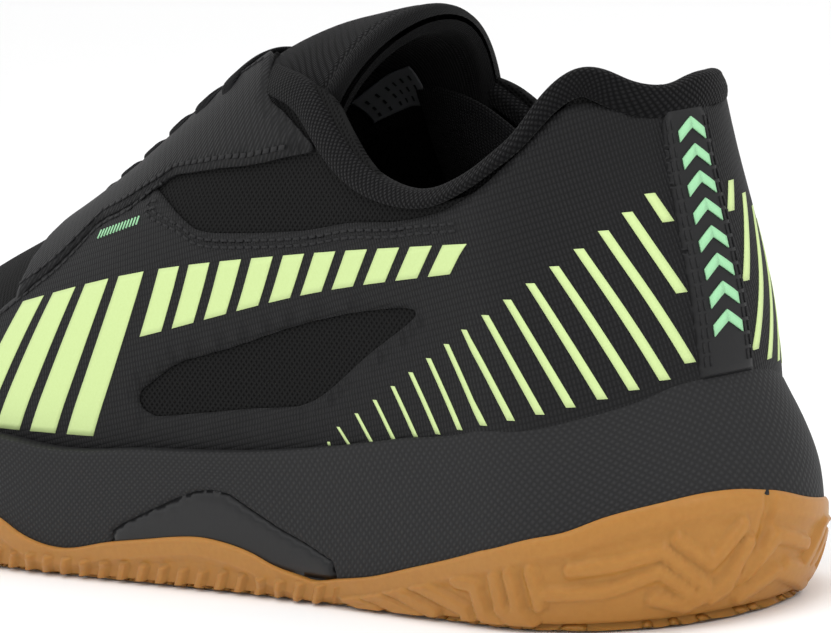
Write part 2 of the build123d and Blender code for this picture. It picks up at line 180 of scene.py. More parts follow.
# %% Curves of the last
FOOTBED_Z, HEEL_ARC, TOE_X = 20.0, 36.0, 288.0
LEAN, LEAN_Z = 0.035, 45.0  # the upper leans inwards above this height
BEND, FULL = 0.92, 2.2  # roundness of the heel in plan, and of every section
TUCK, TUCK_HEIGHT = 0.06, 20
SIDES = ((1, "outer"), (-1, "inner"))


def smooth(knots):
    """Smooth cubic through (x, y) knots, straight past its ends; works on whole arrays."""
    xs, ys = np.array(knots, float).T
    step, slope = np.diff(xs), np.diff(ys) / np.diff(xs)
    inner = (slope[:-1] * step[1:] + slope[1:] * step[:-1]) / (step[:-1] + step[1:])
    m = np.concatenate([slope[:1], inner, slope[-1:]])

    def curve(x):
        x = np.asarray(x, float)
        i = np.clip(np.searchsorted(xs, x) - 1, 0, len(xs) - 2)
        h = step[i]
        t = np.clip((x - xs[i]) / h, 0, 1)
        y = (2 * t**3 - 3 * t**2 + 1) * ys[i] + (t**3 - 2 * t**2 + t) * h * m[i]
        y = y + (3 * t**2 - 2 * t**3) * ys[i + 1] + (t**3 - t**2) * h * m[i + 1]
        return y + np.minimum(x - xs[0], 0) * m[0] + np.maximum(x - xs[-1], 0) * m[-1]
    return curve


UPPER_OUT = smooth([
    (0, 33), (45, 34), (70, 35), (100, 37), (130, 41), (160, 45.5), (190, 48.5), (215, 48.5),
    (240, 44.5), (260, 36), (275, 25), (284, 13), (288, 0)])
UPPER_IN = smooth([
    (0, 32.5), (45, 32.5), (70, 31.5), (100, 32), (130, 36.5), (160, 42), (190, 46), (215, 47),
    (240, 44.5), (260, 38), (275, 28), (284, 16), (288, 0)])
HEEL_BACK = smooth([
    (15, 5), (25, 3.2), (38, 1.6), (50, 1.6), (62, 2.8), (75, 5.6), (90, 9), (103, 10.8),
    (125, 11.4)])
RIDGE = smooth([
    (0, 165), (40, 155), (80, 140), (100, 131), (121, 121), (150, 105), (175, 91), (195, 81.5),
    (215, 73.5), (240, 65), (260, 57), (275, 46), (284, 34), (288, 22)])
SOLE_OUT = smooth([
    (0, 34.5), (36, 36), (60, 37.5), (92, 39.5), (125, 43.5), (160, 48.5), (190, 52), (215, 53),
    (240, 50), (262, 41), (278, 28), (287, 15), (291, 0)])
SOLE_IN = smooth([
    (0, 33.5), (36, 34), (60, 32.5), (92, 31), (125, 35.5), (160, 44), (190, 51), (215, 53),
    (240, 51.5), (262, 44), (278, 32), (287, 18), (291, 0)])
SOLE_BACK = smooth([
    (0, -0.5), (5, -4.2), (12, -7.0), (20, -8), (26, -7.8), (36, -5), (44, -1.6), (52, 2.4)])
SOLE_FLARE = smooth([(0, 0.5), (6, 2), (14, 3), (24, 2.6), (34, 0.8), (42, -1.5), (52, -3)])
# height of the collar's top edge, by the signed distance round from the middle of the heel
COLLAR = smooth([
    (-136, 106), (-120, 106), (-106, 102.5), (-92, 92.5), (-78, 86), (-69.5, 84.8), (-61, 86),
    (-53, 89), (-46, 93), (-40, 97), (-34, 101), (-27, 103.6), (-15, 104.4), (-8.9, 104.4),
    (-4, 103.9), (0, 103), (8, 103.3), (14, 104.8), (20, 107.3), (26, 108), (31, 105.8),
    (36, 101.5), (40, 97), (46, 93), (53, 89), (61, 86), (69.5, 84.8), (78, 86), (85, 88.5),
    (92, 92.5), (100, 99), (106, 104), (112, 106.8), (120, 108.6), (136, 110.5)])


# %% Walking over the last
def tuck(z):
    """The upper draws in by 6% just above the footbed."""
    return 1 - TUCK * np.clip(1 - (z - FOOTBED_Z) / TUCK_HEIGHT, 0, 1) ** 2


def round_heel(back, arc, u):
    """Length, and share of the half width, u mm round from the middle of the heel."""
    angle = np.clip(u / arc, 0, np.pi / 2)
    x = back + arc * (1 - np.clip(np.cos(angle), 0, 1) ** BEND)
    return x + np.clip(u - arc * np.pi / 2, 0, None), np.sin(angle) ** BEND


def wall(u, z):
    """Point of the last u mm round from the heel (outer side positive) at height z.
    y = half width x heel share x (1 - q^2.2)^0.5, q being the height's share of the ridge."""
    x, share = round_heel(HEEL_BACK(z), HEEL_ARC, np.abs(u))
    q = np.clip((z - FOOTBED_Z) / (RIDGE(x) - FOOTBED_Z), 0, 1)
    wide = np.where(u >= 0, UPPER_OUT(x), UPPER_IN(x))
    y = np.sign(u) * wide * share * np.sqrt(np.clip(1 - q**FULL, 0, 1)) * tuck(z)
    return np.stack(np.broadcast_arrays(x + HEEL_X, y - LEAN * (z - LEAN_Z), z), -1)


BOW_MM = 60.0


def bow(x, v):
    """Point of the last at length x; v runs over the instep from -60 (inner side, footbed)
    through 0 (ridge) to 60 (outer side). y = half width x cos a, z = ridge x sin a."""
    angle = (1 - np.clip(np.abs(v) / BOW_MM, 0, 1)) * np.pi / 2
    z = FOOTBED_Z + (RIDGE(x) - FOOTBED_Z) * np.sin(angle) ** (2 / FULL)
    wide = np.where(v >= 0, UPPER_OUT(x), UPPER_IN(x))
    y = np.sign(v) * np.clip(wide, 0, None) * np.cos(angle) * tuck(z)
    return np.stack(np.broadcast_arrays(x + HEEL_X, y - LEAN * (z - LEAN_Z), z), -1)


def bow_at_z(x, z):
    """v of the point of the bow at length x and height z, outer side."""
    q = np.clip((np.asarray(z) - FOOTBED_Z) / (RIDGE(x) - FOOTBED_Z), 0, 1)
    return BOW_MM * (1 - np.arcsin(q ** (FULL / 2)) / (np.pi / 2))


def bow_at_y(x, y):
    """v of the point of the bow at length x, y mm out from the ridge."""
    return BOW_MM * (1 - np.arccos(np.clip(y / UPPER_OUT(x), 0, 1)) / (np.pi / 2))


# sign of the outward normal of each way of walking, and the step it is measured over
FACING = {wall: -1.0, bow: 1.0}
NORMAL_STEP = 0.5


def raised(walk, p, q, lift):
    """Point of the last moved out along its normal by lift mm."""
    e = NORMAL_STEP
    cross = np.cross(walk(p + e, q) - walk(p - e, q), walk(p, q + e) - walk(p, q - e))
    normal = FACING[walk] * cross / np.maximum(np.linalg.norm(cross, axis=-1), 1e-9)[..., None]
    return walk(p, q) + normal * np.asarray(lift)[..., None]


# %% [markdown]
# ## From arrays to meshes
# Every mesh here is either a grid or a flat pattern cut from sheet. `mesh_piece` takes the
# finished points in mm. A pattern is cut flat in the last's own coordinates, filled with
# triangles that follow its outline and its holes, and only then wrapped, as real uppers are.

# %% Mesh helpers
def mesh_piece(name, points, faces, material, uv=None, uv_faces=None):
    """Mesh object from points in mm; uv in mm becomes a UV map in metres. uv_faces numbers
    the faces in uv where they differ, as at the seam of a closed ring."""
    mesh = bpy.data.meshes.new(name)
    mesh.from_pydata((np.asarray(points).reshape(-1, 3) * MM).tolist(), [], faces.tolist())
    if uv is not None:
        layer = mesh.uv_layers.new(name="pattern")
        corner = np.asarray(faces if uv_faces is None else uv_faces).ravel()
        flat = np.asarray(uv).reshape(-1, 2)[corner] * MM
        layer.data.foreach_set("uv", flat.astype(np.float32).ravel())
    mesh.polygons.foreach_set("use_smooth", np.ones(len(mesh.polygons), bool))
    mesh.materials.append(material)
    mesh.update()
    made = bpy.data.objects.new(name, mesh)
    bpy.context.scene.collection.objects.link(made)
    return made


def grid_faces(rows, columns, wrap_columns=False, flip=False):
    """Quads of a rows x columns grid of points, numbered row by row."""
    i, j = np.meshgrid(np.arange(rows - 1), np.arange(columns - (not wrap_columns)),
                       indexing="ij")
    k = (j + 1) % columns
    quads = np.stack([i * columns + j, i * columns + k, (i + 1) * columns + k,
                      (i + 1) * columns + j], -1).reshape(-1, 4)
    return quads[:, ::-1] if flip else quads


def run_along(points):
    """Distance walked down the first axis of a line or a grid of points, from 0."""
    steps = np.linalg.norm(np.diff(points, axis=0), axis=-1)
    return np.concatenate([np.zeros_like(steps[:1]), np.cumsum(steps, axis=0)])


def unit(vectors):
    """The same directions, all of length 1."""
    return vectors / np.linalg.norm(vectors, axis=-1, keepdims=True)


def thickness(piece, mm, offset=-1.0):
    """Give a skin its thickness: inwards at -1, outwards at 1."""
    solid = piece.modifiers.new("thickness", "SOLIDIFY")
    solid.thickness = mm * MM
    solid.offset = offset
    return piece


def loop_through(points, step=1.0, closed=True):
    """Smooth closed line through listed points, sampled about every step mm."""
    p = np.asarray(points, float)
    before, after, far = np.roll(p, 1, 0), np.roll(p, -1, 0), np.roll(p, -2, 0)
    spans = np.linalg.norm(after - p, axis=1)
    pieces = []
    for a, b, c, d, span in zip(before, p, after, far, spans):
        t = np.linspace(0, 1, max(int(span / step), 1), endpoint=False)[:, None]
        pieces.append(0.5 * (2 * b + (c - a) * t + (2 * a - 5 * b + 4 * c - d) * t**2
                             + (3 * b - a - 3 * c + d) * t**3))
    return np.concatenate(pieces if closed else pieces[:-1])


def straight_through(points, step=1.0):
    """Closed outline of straight runs, sampled about every step mm."""
    p = np.asarray(points, float)
    runs = []
    for a, b in zip(p, np.roll(p, -1, 0)):
        t = np.linspace(0, 1, max(int(np.linalg.norm(b - a) / step), 1), endpoint=False)
        runs.append(a + (b - a) * t[:, None])
    return np.concatenate(runs)


def inside(points, ring):
    """True for points inside a closed ring, by counting crossings."""
    x, y = points[:, 0][:, None], points[:, 1][:, None]
    x0, y0 = ring.T
    x1, y1 = np.roll(ring, -1, 0).T
    crosses = (y0 > y) != (y1 > y)
    at = x0 + (y - y0) * (x1 - x0) / np.where(y1 == y0, 1e-9, y1 - y0)
    return (np.sum(crosses & (x < at), axis=1) % 2).astype(bool)


def to_ring(points, ring):
    """Distance from each point to a closed ring."""
    a, b = ring, np.roll(ring, -1, 0)
    best = np.full(len(points), np.inf)
    for start in range(0, len(points), 4000):
        p = points[start:start + 4000, None]
        t = np.sum((p - a) * (b - a), -1) / np.maximum(np.sum((b - a) ** 2, -1), 1e-9)
        near = a + np.clip(t, 0, 1)[..., None] * (b - a)
        best[start:start + 4000] = np.linalg.norm(p - near, axis=-1).min(1)
    return best


GRID_CLEAR = 0.55  # grid points keep this share of the spacing from every outline
RIM_MM, GROOVE_MM = 0.7, 0.5  # widths of the sunk rim and of a groove


def cut_pattern(name, walk, outline, holes, material, lift, thick, spacing=1.6,
                edge_drop=0.5, groove=0.0, groove_at=2.4):
    """Piece cut flat in the coordinates of walk, with holes, then wrapped on the last.
    Its rim sinks by edge_drop within a millimetre, and a groove may follow each hole."""
    rings = [outline] + list(holes)
    low, high = outline.min(0), outline.max(0)
    gx, gy = np.meshgrid(np.arange(low[0], high[0], spacing),
                         np.arange(low[1], high[1], spacing), indexing="ij")
    gx = gx + (np.arange(gx.shape[1]) % 2) * spacing / 2
    grid = np.stack([gx.ravel(), gy.ravel()], -1)
    keep = inside(grid, outline) & (to_ring(grid, outline) > spacing * GRID_CLEAR)
    for hole in holes:
        keep &= ~inside(grid, hole) & (to_ring(grid, hole) > spacing * GRID_CLEAR)
    flat = np.concatenate(rings + [grid[keep]])
    edges, first = [], 0
    for ring in rings:
        number = np.arange(len(ring))
        edges += np.stack([number + first, (number + 1) % len(ring) + first], -1).tolist()
        first += len(ring)
    result = delaunay_2d_cdt([Vector(p) for p in flat.tolist()], edges, [], 0, 1e-6)
    flat = np.array([tuple(v) for v in result[0]])
    faces = np.array([f for f in result[2] if len(f) == 3])
    middle = flat[faces].mean(1)
    good = inside(middle, outline)
    for hole in holes:
        good &= ~inside(middle, hole)
    faces = faces[good]
    away = to_ring(flat, outline)
    height = np.full(len(flat), float(lift))
    for hole in holes:
        gap = to_ring(flat, hole)
        height -= groove * np.exp(-((gap - groove_at) / GROOVE_MM) ** 2)
        away = np.minimum(away, gap)
    height -= edge_drop * np.exp(-(away / RIM_MM) ** 2)
    points = raised(walk, flat[:, 0], flat[:, 1], height)
    if FACING[walk] < 0:
        faces = faces[:, ::-1]
    used = np.unique(faces)
    place = np.full(len(flat), -1)
    place[used] = np.arange(len(used))
    piece = mesh_piece(name, points[used], place[faces], material, flat[used])
    thickness(piece, thick)
    print(name, len(faces), "triangles")
    return piece


def film_patches(name, walk, patches, material, lift, across=3, step=1.5, thick=0.15):
    """Many four-cornered patches of printed film, each a small grid on the last."""
    points, faces, uvs, first = [], [], [], 0
    for a, b, c, d in patches:
        a, b, c, d = (np.asarray(p, float) for p in (a, b, c, d))
        rows = max(int(np.linalg.norm(d - a) / step), 2) + 1
        s, t = np.meshgrid(np.linspace(0, 1, rows), np.linspace(0, 1, across), indexing="ij")
        s, t = s[..., None], t[..., None]
        flat = (a * (1 - t) + b * t) * (1 - s) + (d * (1 - t) + c * t) * s
        points.append(raised(walk, flat[..., 0], flat[..., 1], np.full(s.shape[:2], lift))
                      .reshape(-1, 3))
        area = (b - a)[0] * (d - a)[1] - (b - a)[1] * (d - a)[0]
        flip = (area > 0) == (FACING[walk] < 0)
        faces.append(grid_faces(rows, across, flip=flip) + first)
        uvs.append(flat.reshape(-1, 2))
        first += rows * across
    piece = mesh_piece(name, np.concatenate(points), np.concatenate(faces), material,
                       np.concatenate(uvs))
    return thickness(piece, thick)


# %% [markdown]
# ## Materials
# Each material is named for what the real shoe is made of. Patterns are set in real sizes:
# the pattern map on every cut piece is in metres, so a thread or a mesh cell keeps its size.

# %% Woven and moulded materials
def pattern_uv(tree, turn=0.0):
    """The pattern map, in mm, turned by an angle in degrees; returns its x and y."""
    uv = node(tree, "UVMap", {"uv_map": "pattern"})
    mapped = node(tree, "Mapping", i0=uv.outputs[0], i2=(0, 0, math.radians(turn)),
                  i3=(1000, 1000, 1000))
    split = node(tree, "SeparateXYZ", i0=mapped.outputs[0])
    return split.outputs[0], split.outputs[1]


def maths(tree, kind, a, b=0.0, c=0.0):
    """One step of arithmetic on values or sockets."""
    return node(tree, "Math", {"operation": kind}, i0=a, i1=b, i2=c).outputs[0]


def wave(tree, along, period, sharp=1.0):
    """0 to 1 ridges of the given period in mm."""
    turn = maths(tree, "MULTIPLY", along, 2 * math.pi / period)
    half = maths(tree, "MULTIPLY_ADD", maths(tree, "SINE", turn), 0.5, 0.5)
    return half if sharp == 1.0 else maths(tree, "POWER", half, sharp)


def colour_by(tree, shader, factor, dark, light):
    """Base colour from dark to light by a factor."""
    mix = node(tree, "Mix", {"data_type": "RGBA"})
    tree.links.new(factor, mix.inputs[0])
    mix.inputs[6].default_value = linear(dark)
    mix.inputs[7].default_value = linear(light)
    tree.links.new(mix.outputs[2], shader.inputs["Base Color"])


def bump(tree, shader, height, mm):
    """Relief mm deep from a 0 to 1 height."""
    made = node(tree, "Bump", Strength=1.0, Distance=mm * MM, Height=height)
    tree.links.new(made.outputs[0], shader.inputs["Normal"])


def grain(tree, mm, detail=3):
    """Fine uneven grain, 0 to 1, in the object's own coordinates."""
    place = node(tree, "TexCoord").outputs["Object"]
    return node(tree, "TexNoise", Vector=place, Scale=1000 / mm, Detail=detail).outputs[0]


def synthetic(name, dark, light, period, turn, roughness):
    """Black coated synthetic embossed with fine ribs, broken into short bars."""
    made, tree, shader = surface(name, roughness, ior=1.27)
    x, y = pattern_uv(tree, turn)
    ribs = wave(tree, x, period)
    bars = wave(tree, y, period * 1.35, 0.35)
    height = maths(tree, "MULTIPLY", ribs, bars)
    colour_by(tree, shader, height, dark, light)
    bump(tree, shader, height, 0.16)
    return made


# coated synthetic of the side panels, ribbed
OVERLAY = synthetic("black_ribbed_synthetic", "0C0C0D", "1F1F20", 0.9, 12, 0.62)
# the dimpled synthetic of the lace stays
EYESTAY = synthetic("black_dimpled_synthetic", "0C0C0D", "1D1D1E", 1.1, 45, 0.6)


def air_mesh(name, dark, light, cell):
    """Knitted mesh with open diamond cells."""
    made, tree, shader = surface(name, 0.9, ior=1.2)
    x, y = pattern_uv(tree)
    a = wave(tree, maths(tree, "ADD", x, y), cell)
    b = wave(tree, maths(tree, "SUBTRACT", x, y), cell)
    thread = maths(tree, "MAXIMUM", a, b)
    open_cell = maths(tree, "SMOOTH_MIN", thread, 0.9, 0.2)
    colour_by(tree, shader, open_cell, dark, light)
    bump(tree, shader, open_cell, 0.35)
    return made


# mesh of the windows, over a black backing
MESH = air_mesh("black_air_mesh", "020202", "1A1A1A", 1.6)


def knit(name, dark, light, wale, course, turn, sheen=0.04):
    """Soft knit: wales across, split by courses."""
    made, tree, shader = surface(name, 0.95, ior=1.2, sheen=sheen)
    x, y = pattern_uv(tree, turn)
    loops = maths(tree, "MULTIPLY", wave(tree, x, wale), wave(tree, y, course, 0.6))
    colour_by(tree, shader, loops, dark, light)
    bump(tree, shader, loops, 0.3)
    return made


# smooth lining knit with fine upright wales
LINING = knit("black_lining_knit", "060607", "171718", 0.9, 0.7, 0)
# thicker diagonal knit of the collar roll and the outside of the tongue
ROLL_KNIT = knit("black_diagonal_knit", "060607", "1B1B1C", 1.1, 0.8, 35)


def moulded(name, dark, light, roughness, speck, depth, glow=0.0, glow_mm=2.0):
    """Moulded foam or rubber with a fine uneven skin."""
    made, tree, shader = surface(name, roughness)
    skin = grain(tree, speck)
    colour_by(tree, shader, skin, dark, light)
    bump(tree, shader, skin, depth)
    shader.inputs["Subsurface Weight"].default_value = glow
    shader.inputs["Subsurface Scale"].default_value = glow_mm * MM
    return made


def woven_skin():
    """EVA foam moulded against a woven-looking tool: small crossed bars."""
    made, tree, shader = surface("black_textured_eva_foam", 0.7)
    x, y = pattern_uv(tree, 45)
    bars = maths(tree, "MULTIPLY", wave(tree, x, 1.3), wave(tree, y, 1.3))
    colour_by(tree, shader, bars, "19191A", "29292A")
    bump(tree, shader, bars, 0.15)
    return made


FOAM = woven_skin()
# gum rubber, warm brown and slightly see-through
GUM = moulded("gum_rubber", "9C6A2E", "AA7838", 0.42, 1.4, 0.03, glow=0.18, glow_mm=2.5)
# smooth grey-black thermoplastic of the shank
SHANK = moulded("satin_black_tpu", "131314", "1B1B1C", 0.35, 0.8, 0.02)
# glossy cast heel strip
STRIP = moulded("smooth_black_synthetic", "121213", "1A1A1B", 0.5, 0.6, 0.02)
# screen-printed lime film
LIME = moulded("lime_print_film", "BFD48E", "C8DC9A", 0.5, 0.5, 0.01)
# raised mint rubber print
MINT = moulded("mint_rubber_print", "92CC9B", "9ED5A6", 0.5, 0.5, 0.02)
# bonded polyester thread
THREAD = moulded("black_thread", "161617", "252526", 0.75, 0.4, 0.03)
# grey satin size label
LABEL = moulded("grey_satin_label", "77797C", "86888B", 0.45, 0.3, 0.01)
# dashes printed on the label
DASH = moulded("dark_label_ink", "1A1A1B", "222223", 0.6, 0.3, 0.01)


def webbing():
    """Flat woven lace: a chevron of threads along it."""
    made, tree, shader = surface("black_lace_webbing", 0.85, ior=1.2)
    x, y = pattern_uv(tree)
    lean = maths(tree, "ADD", x, maths(tree, "ABSOLUTE", y))
    threads = wave(tree, lean, 0.8)
    colour_by(tree, shader, threads, "070708", "1C1C1E")
    bump(tree, shader, threads, 0.2)
    return made


LACE = webbing()
print(len(bpy.data.materials), "materials")

# %% [markdown]
# ## The sole
# The sole is walked the same way as the upper, but on a wider outline that flares at the foot
# of the wall. Its rings are closed loops: out along the outer side, round the toe, and back.

# %% Sole outline
SOLE_ARC, SOLE_BEND = 42.0, 0.9
TOE_SPRING, SPRING_FROM, SPRING_RUN = 15, 205, 86
RING_COLUMNS = 560


def sole_wall(u, z):
    """Point of the sole's side u mm round from the middle of the heel, at height z."""
    x, share = round_heel_sole(u, z)
    wide = np.where(u >= 0, SOLE_OUT(x), SOLE_IN(x)) + SOLE_FLARE(z)
    y = np.sign(u) * np.clip(wide, 0, None) * share
    return np.stack(np.broadcast_arrays(x + HEEL_X, y, z), -1)


def round_heel_sole(u, z):
    """Length, and share of the half width. The heel's slope fades out ahead of u = 215."""
    angle = np.clip(np.abs(u) / SOLE_ARC, 0, np.pi / 2)
    fade = np.clip((np.abs(u) - 215) / 80, 0, 1)
    x = (SOLE_BACK(z) * (1 - fade * fade * (3 - 2 * fade))
         + SOLE_ARC * (1 - np.clip(np.cos(angle), 0, 1) ** SOLE_BEND))
    return x + np.clip(np.abs(u) - SOLE_ARC * np.pi / 2, 0, None), np.sin(angle) ** SOLE_BEND


FACING[sole_wall] = -1.0


def spring(x):
    """Toe spring: the sole leaves the ground from x = 205 on, 15 mm up at the tip."""
    return TOE_SPRING * np.clip((x - SPRING_FROM) / SPRING_RUN, 0, 1) ** 1.8


def side_stations(count):
    """u of the stations of one side, evenly spaced in real length, the toe included."""
    u = np.linspace(0, SOLE_ARC * np.pi / 2 + TOE_X + 3 - SOLE_ARC, 4000)
    p = sole_wall(u, 20.0)
    run = run_along(p)
    return np.interp(np.linspace(0, run[-1], count), run, u)


def ring_u(count):
    """Signed u of a closed ring: outer side to the toe, then the inner side back."""
    half = side_stations(count)
    return np.concatenate([half, -half[-2:0:-1]])


OUTSOLE_TOP = smooth([
    (-300, 17), (-218, 12), (-181, 9), (-150, 11), (-115, 6), (-87, 9), (-55, 15), (-30, 18.5),
    (-12.4, 21.5), (-2, 24.5), (5, 26), (13, 26.5), (25, 25.5), (37, 23.5), (47, 20.5), (55, 19),
    (64, 16.5), (75, 13.5), (87, 10.5), (99, 7.5), (109, 6), (116, 5), (123, 6), (130, 7.5),
    (136, 9.5), (146, 11.5), (152, 12), (161, 11.5), (169, 10.5), (181, 9), (197, 6.5), (203, 7),
    (211, 9), (218, 12), (245, 16), (285, 20)])
MIDSOLE_TOP = smooth([
    (-290, 36), (-240, 32), (-201, 29), (-175, 30), (-135, 31.5), (-87, 37), (-58, 41.5),
    (-27, 45), (-11, 49.5), (-7, 50), (7, 50), (11, 49.5), (20.5, 46.5), (27, 45), (42, 43),
    (58, 41.5), (72, 38.5), (87, 37), (110, 34), (135, 31.5), (156, 30.5), (175, 30), (191, 29),
    (201, 29), (217, 30.5), (240, 32), (290, 36)])
SHANK_RIM = [
    (180, 7), (180.5, 11.5), (177, 13.5), (169.6, 16.5), (160.5, 20), (154, 22), (149, 22.5),
    (143.7, 22), (136.7, 19), (128.3, 15.5), (120.6, 13), (111.5, 9.5), (109.4, 5)]


# %% Rings into a closed body
def polyline_gap(u, z, lines):
    """Distance from every (u, z) to the nearest of several open lines."""
    best = np.full(np.shape(u), 1e9)
    for line in lines:
        for (u0, z0), (u1, z1) in zip(line[:-1], line[1:]):
            du, dz = u1 - u0, z1 - z0
            t = np.clip(((u - u0) * du + (z - z0) * dz) / (du * du + dz * dz), 0, 1)
            best = np.minimum(best, np.hypot(u - u0 - t * du, z - z0 - t * dz))
    return best


def spine_of(points):
    """The middle line that a ring shrinks to: same length, half way across."""
    x = np.clip(points[..., 0], HEEL_X + 34, HEEL_X + 250)
    return np.stack([x, np.zeros_like(x), points[..., 2]], -1)


def inwards(points, mm):
    """Points moved mm towards the spine, in plan."""
    way = spine_of(points) - points
    far = np.maximum(np.linalg.norm(way, axis=-1, keepdims=True), 1e-9)
    return points + way / far * np.minimum(mm, far)


def at_height(points, z):
    """The same points in plan, at height z."""
    return np.concatenate([points[..., :2], np.broadcast_to(
        np.asarray(z, float)[..., None], points[..., :1].shape)], -1)


def ring_body(name, rows, material):
    """Closed body from rings of points, first ring and last ring shrunk to the spine."""
    points = np.stack(rows)
    middle = points[len(rows) // 2]
    along = run_along(np.concatenate([middle, middle[:1]]))
    up = run_along(points[:, 0])
    uv = np.stack(np.broadcast_arrays(along[None], up[:, None]), -1)
    faces = grid_faces(len(rows), points.shape[1], wrap_columns=True, flip=True)
    uv_faces = grid_faces(len(rows), points.shape[1] + 1, flip=True)
    piece = mesh_piece(name, points, faces, material, uv, uv_faces)
    print(name, len(faces) * 2, "triangles")
    return piece


# %% Outsole
RIBS = [
    [(45, 13), (35, 14), (24.7, 16), (14.2, 8)], [(49.9, 8), (36.6, 8.5), (25.4, 12),
    (17, 6.5)], [(21.2, 18), (13.5, 12.5), (5.8, 19)], [(26, 6.5), (17.7, 4), (9.3, 8),
    (4.4, 15.5)], [(54, 12.5), (51.3, 5.5)], [(59, 11.5), (56.2, 4), (52, 1)], [(62.5, 10.5),
    (60.4, 4.5), (55.5, 1)], [(67.4, 8.5), (63.9, 2.5), (59.7, 0.5)], [(72.3, 9),
    (66.7, 8.5)], [(84.9, 7.5), (68.8, 3), (66.7, 0.5)], [(92.6, 6), (77.2, 1.5)], [(98.9, 4),
    (81.4, 0)], [(104.5, 2.5), (94, 0)], [(-12.4, 12), (-1.9, 15.5), (3.7, 9.5),
    (12, 5)], [(-6, 8.5), (-25, 3.5), (-27.8, 8.5)], [(4.4, 4), (-2.6, 8), (-25.7, 0)]]
MIRRORED_RIBS = [[(-u, z) for u, z in line] for line in RIBS[:13] if line[0][0] > 40]
GROOVE = [(-0.5, 24), (0.2, 18), (2.3, 12), (6.5, 7)]
RIB_MM, SUNK_MM, TREAD_MM = 1.25, 0.9, 1.6  # ribs stand on a sunk wall; tread depth below


def rib_relief(u, z):
    """Height of the moulded tread on the side wall: ribs, forefoot blocks and one groove."""
    ribs = np.clip(1.9 - polyline_gap(u, z, RIBS + MIRRORED_RIBS), 0, 0.8) / 0.8
    low = np.clip((OUTSOLE_TOP(u) - 4 - z) / 2, 0, 1)
    blocks = (np.abs(u) > 108) * (z < 4.5) * np.clip(
        3 * np.sin(2 * np.pi * np.abs(u) / 6.2) - 0.6, 0, 1)
    groove = np.clip(1.3 - polyline_gap(u, z, [GROOVE]), 0, 0.8)
    return RIB_MM * np.maximum(ribs * low ** 0.2, blocks * 0.9) - groove - SUNK_MM * low


def herringbone(points):
    """Depth of the zigzag grooves of the tread, from 0 to 1."""
    across = np.abs((points[..., 1] / 22) % 1 - 0.5) * 2
    tooth = ((points[..., 0] + across * 9) / 6.5) % 1
    return np.clip(4 * np.abs(tooth - 0.5) - 0.4, 0, 1)


u_ring = ring_u(RING_COLUMNS)
lift_off = spring(sole_wall(u_ring, 12.0)[:, 0] - HEEL_X)
top_z = OUTSOLE_TOP(u_ring) + lift_off * 0.5
rows = []
for share in (0.0, 0.12, 0.24, 0.34, 0.42, 0.5, 0.56, 0.62, 0.68, 0.73, 0.78, 0.82, 0.86, 0.9,
              0.94, 0.975):
    foot = at_height(sole_wall(u_ring, 1.5), lift_off)
    ring = spine_of(foot) * (1 - share) + foot * share
    ring = at_height(ring, spring(ring[:, 0] - HEEL_X))
    fade = np.clip(share / 0.2, 0, 1) * np.clip((0.98 - share) / 0.05, 0, 1)
    ring[:, 2] += TREAD_MM * (1 - herringbone(ring)) * fade
    rows.append(ring)
for share in np.linspace(0, 1, 34):
    z = lift_off + (top_z - lift_off) * share
    plain_z = np.clip(z - lift_off, 0, None)
    relief = rib_relief(u_ring, plain_z) - 1.6 * np.clip(0.06 - share, 0, 1) / 0.06
    relief -= 0.5 * np.clip((share - 0.93) / 0.07, 0, 1) ** 2
    rows.append(raised(sole_wall, u_ring, z, relief + 0.4))
rim, inner = rows[-1], inwards(rows[-1], 3.5)
rows += [inwards(rim, 1.5), at_height(inner, np.minimum(top_z, 9 + lift_off) - 0.5),
         at_height(spine_of(inner), 7 + spring(spine_of(inner)[:, 0] - HEEL_X))]
outsole = ring_body("rubber_outsole", rows, GUM)
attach(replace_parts(outsole, "outsole"), "root")

# %% Midsole
LIP_ROUND, FOAM_IN, FLOOR_Z = 1.3, 0.5, 19.5
lip = MIDSOLE_TOP(u_ring)
base_z = top_z - 3  # the foam starts below the rubber's edge, so the seam stays shut
shank_ring = np.array(SHANK_RIM, float)


def in_shank(u, z):
    """Distance outside the shank's outline, negative inside it."""
    flat = np.stack([np.abs(u).ravel(), z.ravel()], -1)
    gap = to_ring(flat, shank_ring) * np.where(inside(flat, shank_ring), -1, 1)
    return gap.reshape(np.shape(u))


base = sole_wall(u_ring, 10.0)
rows = [at_height(spine_of(inwards(base, 2)), 9), at_height(inwards(base, 3.5), base_z)]
for share in np.linspace(0, 1, 30):
    z = base_z + (lip - LIP_ROUND - base_z) * share
    hollow = np.clip(0.6 - in_shank(u_ring, z), 0, 1.2)
    rows.append(raised(sole_wall, u_ring, z, -FOAM_IN - 0.9 * hollow))
for turn in (0.35, 0.7, 1.0):
    a = turn * np.pi / 2
    rows.append(raised(sole_wall, u_ring, lip - LIP_ROUND + LIP_ROUND * np.sin(a),
                       -FOAM_IN - LIP_ROUND * (1 - np.cos(a)) + 0 * u_ring))
rim, inner = rows[-1], inwards(rows[-1], 7)
rows += [inwards(rim, 3.0), at_height(inwards(rim, 4.5), np.minimum(lip - 2, 24)),
         at_height(inner, FLOOR_Z), at_height(spine_of(inner), FLOOR_Z)]
midsole = ring_body("foam_midsole", rows, FOAM)
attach(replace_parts(midsole, "midsole", "strobel_board"), "root")

# %% Shank wings
for sign, end in SIDES:
    outline = straight_through([(sign * u, z) for u, z in SHANK_RIM][::sign], 0.9)
    wing = cut_pattern("shank_wing_" + end, sole_wall, outline, [], SHANK, -0.5, 1.0,
                       spacing=1.6, edge_drop=0.5)
    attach(wing, "root")
    if sign > 0:
        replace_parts(wing, "arch_shank")

# %% [markdown]
# ## The upper
# First the black mesh that makes the shoe's body, then the coated side panels with their two
# windows, then the stays that carry the laces. The inner side's outlines mirror the outer's.

